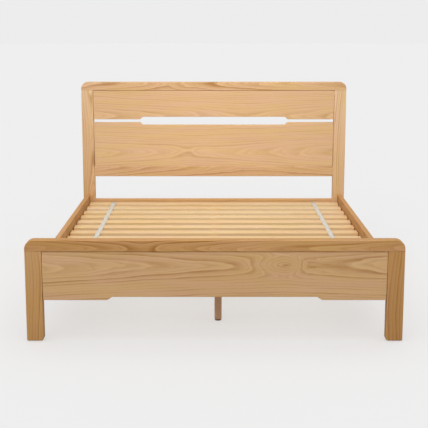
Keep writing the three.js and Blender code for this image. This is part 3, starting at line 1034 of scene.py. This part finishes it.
class BED_OT_side_rails(bpy.types.Operator):
    """Make the side rails, with round pockets for the corner nuts, and the slat ledges"""

    bl_idname = "bed.side_rails"
    bl_label = "Side rails"

    # Room round, past and behind each corner nut.
    pocket_room = 0.0014
    pocket_depth = 0.002
    pocket_back = 0.0004

    def execute(self, context):
        for index, (side, sign) in enumerate(SIDES):
            node = f"side_rail_{side}"
            limits = limits_of(node)
            face = limits[0][0] if sign > 0 else limits[0][1]
            cutters = [self.pocket(f"corner_nut_{end}_{side}_{level}", face, sign, end_sign)
                       for end, end_sign in ENDS for level in LEVELS]
            rail = timber(f"oak_{node}", limits, ALONG_Y, cutters=cutters)
            finish_wood(rail, "oak", Figure(
                ALONG_Y, ALONG_X, pith=(0.05, 0.10), peak=0.3, seed=61.0 + index), [node])
            ledge = f"slat_ledge_{side}"
            strip = timber(f"pine_{ledge}", limits_of(ledge), ALONG_Y)
            finish_wood(strip, "pine", Figure(
                ALONG_Y, ALONG_Z, pith=(0.02, 0.06), peak=-0.4, seed=64.0 + index), [ledge])
        return {"FINISHED"}

    def pocket(self, nut, face, sign, end_sign):
        """A cutter for a nut's round pocket, sunk from the rail's inner face."""
        low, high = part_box(nut)
        depth = (high.x if sign > 0 else low.x) + sign * self.pocket_depth
        radius = (high.z - low.z) / 2 + self.pocket_room
        far = high.y if end_sign > 0 else low.y
        y = far - end_sign * (radius - self.pocket_back)
        centre = Vector((face, y, (low.z + high.z) / 2))
        return rod("pocket", ALONG_X, centre, radius, abs(depth - face))


class BED_OT_slats(bpy.types.Operator):
    """Make the row of pine slats"""

    bl_idname = "bed.slats"
    bl_label = "Slats"

    # A slat is this much shorter and narrower than its place, so that a turned one stays in it.
    trim = 0.0012
    end_ease = 0.0012
    largest_turn = 0.0006

    def execute(self, context):
        low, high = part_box(SLAT_NODES[0])
        centre, size = (low + high) / 2, high - low - Vector((self.trim, self.trim, 0.0))
        count = len(SLAT_NODES)
        pitch = (middle_of(SLAT_NODES[-1]).y - centre.y) / (count - 1)
        pattern = timber("slat_pattern", [(-side / 2, side / 2) for side in size], ALONG_X,
                         low_end=self.end_ease, high_end=self.end_ease)
        slats = add_object("pine_slats", bpy.data.meshes.new("pine_slats"))
        grow(slats, bpy.data.node_groups["slat_row"], {
            "Slat": pattern, "Finish": material("pine"), "Count": count, "First": centre,
            "Pitch": pitch, "Largest Turn": self.largest_turn,
            "Seed": context.scene.bed_fasteners.seed})
        bpy.data.objects.remove(pattern)
        self.store_figures(slats, centre, pitch)
        finish(slats, "pine", SLAT_NODES)
        return {"FINISHED"}

    def store_figures(self, slats, centre, pitch):
        """Gives each slat its own cut, seed, knot and paleness, from its number."""
        places = vertex_places(slats.data)
        number = np.rint((places[:, 1] - centre.y) / pitch)
        middles = np.stack((number * 0, centre.y + number * pitch, number * 0 + centre.z), axis=1)
        seeds = 70.0 + number

        def wave(step):
            return np.sin(seeds * step)

        across, peak = wave(12.9) * 0.030, wave(7.7) * 0.55
        depth = 0.035 + 0.030 * np.abs(wave(4.1))
        swirl = np.where(number % 3 == 1, 0.010, 0.0)
        local = places - middles
        grain = np.stack((local[:, 0] - peak, local[:, 1] - across, local[:, 2] + depth), axis=1)
        store(slats.data, "grain", "FLOAT_VECTOR", "POINT", grain)
        boards = np.stack((seeds, swirl, 0.35 * np.abs(wave(3.3))), axis=1)
        store(slats.data, "board", "FLOAT_VECTOR", "POINT", boards)
        store(slats.data, "boldness", "FLOAT", "POINT", 0.8 + 0.5 * np.abs(wave(5.9)))
        store(slats.data, "end_grain", "FLOAT", "FACE", end_faces(slats.data, ALONG_X))


class BED_OT_webbing(bpy.types.Operator):
    """Make the two strips of webbing that keep the slats apart, with their staples"""

    bl_idname = "bed.webbing"
    bl_label = "Slat webbing"

    sag = 0.0035
    rows_per_gap = 10
    strands = 4
    # How far in from a slat's edges the strip lies flat.
    slat_edge = 0.002
    # Where the two staples stand across a slat, and their wire's width and height.
    staple_shares = (0.3, 0.7)
    wire = (0.0013, 0.0006)

    def heights(self, rest):
        """(y, z) down the strip: flat on each slat and sagging between slats."""
        spans = [limits_of(node)[1] for node in SLAT_NODES]
        points = []
        for index, (near, far) in enumerate(spans):
            points += [(near + self.slat_edge, rest), (far - self.slat_edge, rest)]
            if index + 1 < len(spans):
                gap = spans[index + 1][0] - far
                for step in range(1, self.rows_per_gap):
                    share = step / self.rows_per_gap
                    drop = self.sag * math.sin(math.pi * share) ** 0.7
                    points.append((far + gap * share, rest - drop))
        return points

    def execute(self, context):
        staples = []
        for side, _ in SIDES:
            node = f"slat_webbing_{side}"
            (left, right), _, (_, high) = limits_of(node)
            self.strip(node)
            for slat in SLAT_NODES:
                near, far = limits_of(slat)[1]
                for share in self.staple_shares:
                    place = ((left + right) / 2, near + (far - near) * share, high)
                    staples.append((place, (0.0, 0.0, 1.0)))
        repeat("webbing_staples", self.staple(), staples, "zinc_steel", turn=0.12)
        return {"FINISHED"}

    def strip(self, node):
        """One woven strip, laid over all the slats."""
        (left, right), (near, far), (low, high) = limits_of(node)
        line = self.heights(low)
        line[0] = (near, low)
        line[-1] = (far, low)
        columns = [left + (right - left) * step / self.strands
                   for step in range(self.strands + 1)]
        points = [(x, y, z) for y, z in line for x in columns]
        width = len(columns)
        quads = [(row * width + column, row * width + column + 1,
                  (row + 1) * width + column + 1, (row + 1) * width + column)
                 for row in range(len(line) - 1) for column in range(width - 1)]
        mesh = bpy.data.meshes.new(node)
        mesh.from_pydata(points, [], quads)
        mesh.shade_smooth()
        strip = add_object(f"woven_{node}", mesh)
        solid = strip.modifiers.new("thickness", "SOLIDIFY")
        solid.thickness = high - low
        solid.offset = 1.0
        settled(strip)
        store(strip.data, "weave", "FLOAT_VECTOR", "POINT", vertex_places(strip.data))
        finish(strip, "webbing", [node])

    def staple(self):
        """The flattened wire crown that shows above the strip."""
        width = bpy.context.scene.bed_fasteners.staple_width
        bm = bmesh.new()
        bmesh.ops.create_cube(bm, size=1.0, matrix=Matrix.Diagonal((width, *self.wire, 1.0)))
        bmesh.ops.translate(bm, verts=bm.verts, vec=(0.0, 0.0, 0.0001))
        bmesh.ops.bevel(bm, geom=list(bm.edges), offset=0.00022, segments=2, affect="EDGES")
        return add_object("staple", mesh_from(bm, "staple"))


class BED_OT_centre_support(bpy.types.Operator):
    """Make the centre rail and its three notched legs, and finish its steel stirrups"""

    bl_idname = "bed.centre_support"
    bl_label = "Centre support"

    # The softening of a leg's foot, and its glide's hole.
    foot_ease = 0.003
    bore_radius = 0.0043
    bore_depth = 0.046

    def execute(self, context):
        rail = timber("pine_centre_rail", limits_of("centre_rail"), ALONG_Y)
        figure = Figure(ALONG_Y, ALONG_Z, pith=(0.01, 0.05), peak=0.5, swirl=0.008, seed=81.0)
        finish_wood(rail, "pine", figure, ["centre_rail"])
        rail_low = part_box("centre_rail")[0].z
        rail_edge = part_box("centre_rail")[1].x + PLAY
        for number in LEG_NUMBERS:
            node = f"centre_leg_{number}"
            limits = limits_of(node)
            cutters = [self.notch(limits, rail_edge, rail_low - PLAY), self.bore(limits)]
            leg = timber(f"brown_{node}", limits, ALONG_Z, low_end=self.foot_ease,
                         ease=edges().leg_ease, cutters=cutters)
            finish_wood(leg, "brown_wood", Figure(
                ALONG_Z, ALONG_Y, pith=(0.05, 0.08), peak=0.1, seed=84.0 + number), [node])
        for end, _ in ENDS:
            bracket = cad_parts[f"centre_rail_bracket_{end}"]
            bracket.data.materials.clear()
            bracket.data.materials.append(material("zinc_steel"))
        return {"FINISHED"}

    def notch(self, limits, edge, low):
        """A cutter for the place of the centre rail, open at the leg's top and one side."""
        (left, _), (near, far), (_, high) = limits
        past = 0.01
        bm = bmesh.new()
        add_block(bm, ((left - past, edge), (near - past, far + past), (low, high + past)))
        return add_object("notch", mesh_from(bm, "notch"))

    def bore(self, limits):
        """A cutter for the levelling glide's hole, sunk from the leg's foot."""
        (left, right), (near, far), (low, _) = limits
        foot = Vector(((left + right) / 2, (near + far) / 2, low))
        return rod("bore", ALONG_Z, foot, self.bore_radius, self.bore_depth)


# ---------------------------------------------------------------- fastenings

class BED_OT_corner_bolts(bpy.types.Operator):
    """Make the threaded studs and the half-moon nuts that draw each corner up"""

    bl_idname = "bed.corner_bolts"
    bl_label = "Corner bolts"

    # The washer's curve and thickness as shares of the nut's box, and the hexagon's two ends.
    washer_curve = 1.1
    washer_share = 0.52
    nut_radii = (0.0068, 0.0074)

    def execute(self, context):
        for kind, maker in (("stud", self.stud), ("nut", self.nut)):
            for end, sign in ENDS:
                nodes = [f"corner_{kind}_{end}_{side}_{level}"
                         for side, _ in SIDES for level in LEVELS]
                places = [(middle_of(node), (0.0, float(sign), 0.0)) for node in nodes]
                low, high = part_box(nodes[0])
                repeat(f"corner_{kind}s_{end}", maker(high - low), places, "zinc_steel",
                       nodes=nodes)
        return {"FINISHED"}

    def stud(self, size):
        """A stud with a rolled thread, lying along Z."""
        pitch = bpy.context.scene.bed_fasteners.thread_pitch
        sides, steps = 16, 4
        radius, depth = size.x / 2, 0.0006
        rows = int(size.y / pitch * steps)
        bm = bmesh.new()
        rings = []
        for row in range(rows + 1):
            height = -size.y / 2 + size.y * row / rows
            ring = []
            for side in range(sides):
                share = (row / steps + side / sides) % 1.0
                reach = radius - depth * abs(2 * share - 1)
                taper = 0.75 if row in (0, rows) else 1.0
                angle = 2 * math.pi * side / sides
                ring.append(bm.verts.new((reach * taper * math.cos(angle),
                                          reach * taper * math.sin(angle), height)))
            rings.append(ring)
        add_skin(bm, rings, sides)
        bm.faces.new(rings[0])
        bm.faces.new(rings[-1])
        return add_object("stud", mesh_from(bm, "stud"))

    def nut(self, size):
        """A half-moon washer, curved towards +Z, and the hexagon nut on its flat."""
        radius = size.z / 2 * self.washer_curve
        reach = size.y / 2
        thickness = size.y * self.washer_share
        flat = reach - thickness
        half = math.sqrt(max(radius ** 2 - (radius - thickness) ** 2, 0.0))
        steps = 16
        widest = math.asin(min(half / radius, 1.0))
        arc = [(radius * math.sin(angle), radius * math.cos(angle) - radius + reach)
               for angle in (widest - 2 * widest * step / steps for step in range(steps + 1))]
        bm = bmesh.new()
        add_prism(bm, [[bm.verts.new((end, across, rise)) for across, rise in arc]
                       for end in (-size.x / 2, size.x / 2)])
        # The nut bites a hair into the washer.
        height = flat + reach
        outer, inner = self.nut_radii
        place = Matrix.Translation((0.0, 0.0, flat - height / 2 + 0.0001))
        bmesh.ops.create_cone(bm, cap_ends=True, segments=6, radius1=outer, radius2=inner,
                              depth=height, matrix=place)
        obj = add_object("nut", mesh_from(bm, "nut"))
        bevel = obj.modifiers.new("soft", "BEVEL")
        bevel.width = 0.0004
        bevel.segments = 2
        bevel.limit_method = "ANGLE"
        return settled(obj)


class BED_OT_screws(bpy.types.Operator):
    """Make the countersunk screws of the ledges, slats, stirrups and centre legs"""

    bl_idname = "bed.screws"
    bl_label = "Wood screws"

    # How far each slat screw stands in from its slat's end.
    slat_inset = 0.014
    # Each cheek screw's fall from the leg's top and its share of the leg's width.
    cheek_screws = ((0.010, 0.3), (0.023, 0.7))
    # Where the stirrups' four holes stand, and the thickness of their plate.
    hole_xs = (-0.025, 0.025)
    hole_zs = (0.212, 0.232)
    plate = 0.002

    def execute(self, context):
        places = [*self.ledge_places(), *self.slat_places(), *self.leg_places(),
                  *self.bracket_places()]
        repeat("wood_screws", self.screw(), places, "zinc_steel", turn=math.pi)
        return {"FINISHED"}

    def screw(self):
        """A countersunk head with a cross recess, its face at Z = 0."""
        radius = bpy.context.scene.bed_fasteners.screw_head
        profile = ((0.0, 0.0002), (radius * 0.86, 0.0002), (radius, -0.0001),
                   (radius * 0.55, -0.0024), (0.0, -0.0024))
        obj = add_object("screw", turned_part("screw", profile, 24))
        arm = Matrix.Diagonal((radius * 1.15, radius * 0.26, 0.0026, 1.0))
        cutters = []
        for angle in (0.0, math.pi / 2):
            bm = bmesh.new()
            bmesh.ops.create_cube(bm, size=1.0, matrix=Matrix.Rotation(angle, 4, "Z") @ arm)
            cutters.append(add_object("recess", mesh_from(bm, "recess")))
        add_cuts(obj, cutters)
        settled(obj, cutters)
        obj.data.set_sharp_from_angle(angle=math.radians(30))
        return obj

    def ledge_places(self):
        """An even row of screws along each ledge."""
        count = bpy.context.scene.bed_fasteners.ledge_screws
        places = []
        for side, sign in SIDES:
            (left, right), (near, far), (low, high) = limits_of(f"slat_ledge_{side}")
            face = left if sign > 0 else right
            for step in range(count):
                y = near + (far - near) * (step + 0.5) / count
                places.append(((face, y, (low + high) / 2), (-float(sign), 0.0, 0.0)))
        return places

    def slat_places(self):
        """One screw through each end of every slat."""
        places = []
        for node in SLAT_NODES:
            (left, right), (near, far), (_, high) = limits_of(node)
            for x in (left + self.slat_inset, right - self.slat_inset):
                places.append(((x, (near + far) / 2, high), (0.0, 0.0, 1.0)))
        return places

    def leg_places(self):
        """Two screws through each centre leg's cheek."""
        places = []
        for number in LEG_NUMBERS:
            (_, right), (near, far), (_, high) = limits_of(f"centre_leg_{number}")
            for fall, share in self.cheek_screws:
                y = near + (far - near) * share
                places.append(((right, y, high - fall), (1.0, 0.0, 0.0)))
        return places

    def bracket_places(self):
        """A screw in each hole of the two stirrups."""
        places = []
        for end, sign in ENDS:
            _, (near, far), _ = limits_of(f"centre_rail_bracket_{end}")
            face = near + self.plate if sign < 0 else far - self.plate
            for x in self.hole_xs:
                for z in self.hole_zs:
                    places.append(((x, face, z), (0.0, -float(sign), 0.0)))
        return places


class BED_OT_glides(bpy.types.Operator):
    """Make the glides under the posts and the levelling glides under the centre legs"""

    bl_idname = "bed.glides"
    bl_label = "Glides"

    def execute(self, context):
        nodes = [f"{end}board_post_{side}_glide" for end, _ in ENDS for side, _ in SIDES]
        places = [(underside(node), (0.0, 0.0, 1.0)) for node in nodes]
        low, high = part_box(nodes[0])
        radius, height = (high.x - low.x) / 2, high.z - low.z
        profile = ((0.0, 0.0), (radius - 0.0030, 0.0), (radius - 0.0014, 0.0004),
                   (radius - 0.0003, 0.0012), (radius, height), (0.0, height))
        pad = add_object("post_glide", turned_part("post_glide", profile))
        repeat("post_glides", pad, places, "glide_plastic", nodes=nodes)
        for number in LEG_NUMBERS:
            self.levelling_glide(number)
        return {"FINISHED"}

    def levelling_glide(self, number):
        """A ribbed pad moulded round a threaded stem."""
        node = f"centre_leg_{number}_glide"
        low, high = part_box(node)
        radius = (high.x - low.x) / 2
        profile = [(0.0, 0.0), (radius - 0.0030, 0.0), (radius - 0.0016, 0.0004),
                   (radius - 0.0002, 0.0018), (radius, 0.0040), (radius - 0.0010, 0.0052),
                   (radius - 0.0030, 0.0058), (0.0072, 0.0060), (0.0064, 0.0062), (0.0, 0.0062)]
        body = f"levelling_glide_{number}"
        place = Matrix.Translation(underside(node))
        mesh = turned_part(node, profile, 40)
        mesh.transform(place)
        finish(add_object(f"levelling_pad_{number}", mesh), "glide_plastic", [node], body)
        mesh = turned_part("stem", self.stem_profile(high.z - low.z), 20)
        mesh.transform(place)
        finish(add_object(f"levelling_stem_{number}", mesh), "zinc_steel", [], body)

    def stem_profile(self, top):
        """A threaded stem that starts inside its pad."""
        pitch = bpy.context.scene.bed_fasteners.thread_pitch
        root, crest, tip = 0.0034, 0.0040, 0.0030
        points = [(0.0, 0.0060)]
        for turn in range(int((top - 0.0070) / pitch)):
            start = 0.0065 + turn * pitch
            points += [(root, start), (crest, start + pitch * 0.5)]
        return [*points, (root, top - 0.0004), (tip, top), (0.0, top)]


# ---------------------------------------------------------------- materials and stage

class BED_OT_finishes(bpy.types.Operator):
    """Build the shared node groups and every finish"""

    bl_idname = "bed.finishes"
    bl_label = "Finishes"

    def execute(self, context):
        tones = colours()
        build_wood_figure()
        build_wood_colour()
        build_on_points()
        build_slat_row()
        wood_material(
            "oak", (tones.oak_light, tones.oak_warm, tones.oak_dark, tones.oak_palest_and_painted_light),
            cut=(0.0090, 0.036, 0.034, 0.0045), depth=0.75, roughness=0.46)
        wood_material(
            "pine", (tones.pine_light, tones.pine_warm, tones.pine_dark, tones.oak_palest_and_painted_light),
            cut=(0.0050, 0.022, 0.030, 0.0015), depth=0.55, roughness=0.55)
        wood_material(
            "brown_wood", (tones.leg_light, tones.leg_warm, tones.leg_dark, tones.leg_light),
            cut=(0.0060, 0.015, 0.030, 0.0015), depth=0.5, roughness=0.42, coat=0.1)
        steel_material()
        plastic_material()
        webbing_material()
        return {"FINISHED"}


class BED_OT_stage(bpy.types.Operator):
    """Set up the pale floor, the soft lights and the camera"""

    bl_idname = "bed.stage"
    bl_label = "Studio"

    def execute(self, context):
        settings = context.scene.bed_stage
        context.scene.view_settings.view_transform = "Standard"
        self.floor(settings)
        self.surroundings(settings)
        self.lights(settings)
        camera = bpy.data.objects.new("camera", bpy.data.cameras.new("camera"))
        context.scene.collection.objects.link(camera)
        camera.location = settings.camera_place
        camera.rotation_euler = (math.pi / 2 - settings.camera_pitch, 0.0, 0.0)
        camera.data.lens = settings.lens
        camera.data.sensor_width = 36.0
        camera.data.shift_x = settings.shift
        context.scene.camera = camera
        return {"FINISHED"}

    def floor(self, settings):
        bm = bmesh.new()
        bmesh.ops.create_circle(bm, cap_ends=True, segments=96, radius=60.0)
        floor = add_object("floor", mesh_from(bm, "floor"))
        paint, net, shader = new_material("pale_floor")
        place = net.node("ShaderNodeTexCoord").outputs["Object"]
        haze = net.noise(net.scaled(place, 0.8), 9.0, 2.0)
        tone = net.math("MULTIPLY_ADD", haze, 0.01, FLOOR_TONE)
        net.put(shader.inputs["Base Color"], net.joined(tone, tone, tone))
        shader.inputs["Roughness"].default_value = 1.0
        shader.inputs["Specular IOR Level"].default_value = 0.0
        # Its own glow makes up what the lights leave short of the backdrop.
        suns = -sum(getattr(settings, name) * way.z for name, way, _ in SUNS) / math.pi
        glow = max(settings.backdrop - FLOOR_TONE * (settings.fill + suns), 0.0)
        shader.inputs["Emission Color"].default_value = (1.0, 1.0, 1.0, 1.0)
        seen = net.node("ShaderNodeLightPath").outputs["Is Camera Ray"]
        share = net.math("MULTIPLY_ADD", seen, 1.0 - FLOOR_BOUNCE, FLOOR_BOUNCE)
        net.put(shader.inputs["Emission Strength"], net.math("MULTIPLY", share, glow))
        floor.data.materials.append(paint)

    def surroundings(self, settings):
        """An even pale room: one brightness to the eye and another as light."""
        world = bpy.data.worlds.new("studio")
        bpy.context.scene.world = world
        world.use_nodes = True
        net = Net(world.node_tree)
        shader = world.node_tree.nodes["Background"]
        seen = net.node("ShaderNodeLightPath").outputs["Is Camera Ray"]
        gap = settings.backdrop - settings.fill
        net.put(shader.inputs["Strength"], net.math("MULTIPLY_ADD", seen, gap, settings.fill))
        shader.inputs["Color"].default_value = (1.0, 1.0, 1.0, 1.0)

    def lights(self, settings):
        """Three broad soft lights, and a lamp near each end frame that leaves the floor out."""
        for name, way, width in SUNS:
            sun = bpy.data.lights.new(f"{name}_light", "SUN")
            sun.energy = getattr(settings, name)
            sun.angle = math.radians(width)
            self.aim(sun, way * -4.0, Vector())
        unlit = bpy.data.collections.new("floor_left_out")
        unlit.objects.link(bpy.data.objects["floor"])
        unlit.collection_objects[0].light_linking.link_state = "EXCLUDE"
        for name, place, target in LAMPS:
            lamp = bpy.data.lights.new(name, "AREA")
            lamp.shape = "RECTANGLE"
            lamp.size, lamp.size_y = LAMP_SIZE
            lamp.spread = LAMP_SPREAD
            lamp.energy = getattr(settings, name)
            obj = self.aim(lamp, place, target)
            obj.light_linking.receiver_collection = unlit
            obj.visible_camera = False

    def aim(self, light, place, target):
        obj = bpy.data.objects.new(light.name, light)
        bpy.context.scene.collection.objects.link(obj)
        obj.location = place
        obj.rotation_euler = (target - place).to_track_quat("-Z", "Y").to_euler()
        return obj


# ---------------------------------------------------------------- add-on

STEPS = (
    BED_OT_finishes, BED_OT_posts, BED_OT_cap_rails, BED_OT_panels, BED_OT_cross_rails,
    BED_OT_side_rails, BED_OT_slats, BED_OT_webbing, BED_OT_centre_support,
    BED_OT_corner_bolts, BED_OT_screws, BED_OT_glides, BED_OT_stage,
)
SETTINGS = (
    ("bed_edges", BedEdgeSettings), ("bed_colours", BedColourSettings),
    ("bed_fasteners", BedFastenerSettings), ("bed_stage", BedStageSettings),
)


class BED_PT_panel(bpy.types.Panel):
    """The bed frame's steps and settings"""

    bl_idname = "BED_PT_panel"
    bl_label = "Bed Frame"
    bl_space_type = "VIEW_3D"
    bl_region_type = "UI"
    bl_category = "Bed Frame"

    def draw(self, context):
        for step in STEPS:
            self.layout.operator(step.bl_idname)
        for name, kind in SETTINGS:
            box = self.layout.box()
            box.label(text=kind.__doc__)
            for key in kind.__annotations__:
                box.prop(getattr(context.scene, name), key)


def register():
    for name, kind in SETTINGS:
        bpy.utils.register_class(kind)
        setattr(bpy.types.Scene, name, PointerProperty(type=kind))
    for kind in (*STEPS, BED_PT_panel):
        bpy.utils.register_class(kind)


def unregister():
    for kind in reversed((*STEPS, BED_PT_panel)):
        bpy.utils.unregister_class(kind)
    for name, kind in reversed(SETTINGS):
        delattr(bpy.types.Scene, name)
        bpy.utils.unregister_class(kind)


def main():
    register()
    for step in STEPS:
        group, name = step.bl_idname.split(".")
        getattr(getattr(bpy.ops, group), name)()


if __name__ == "__main__":
    main()
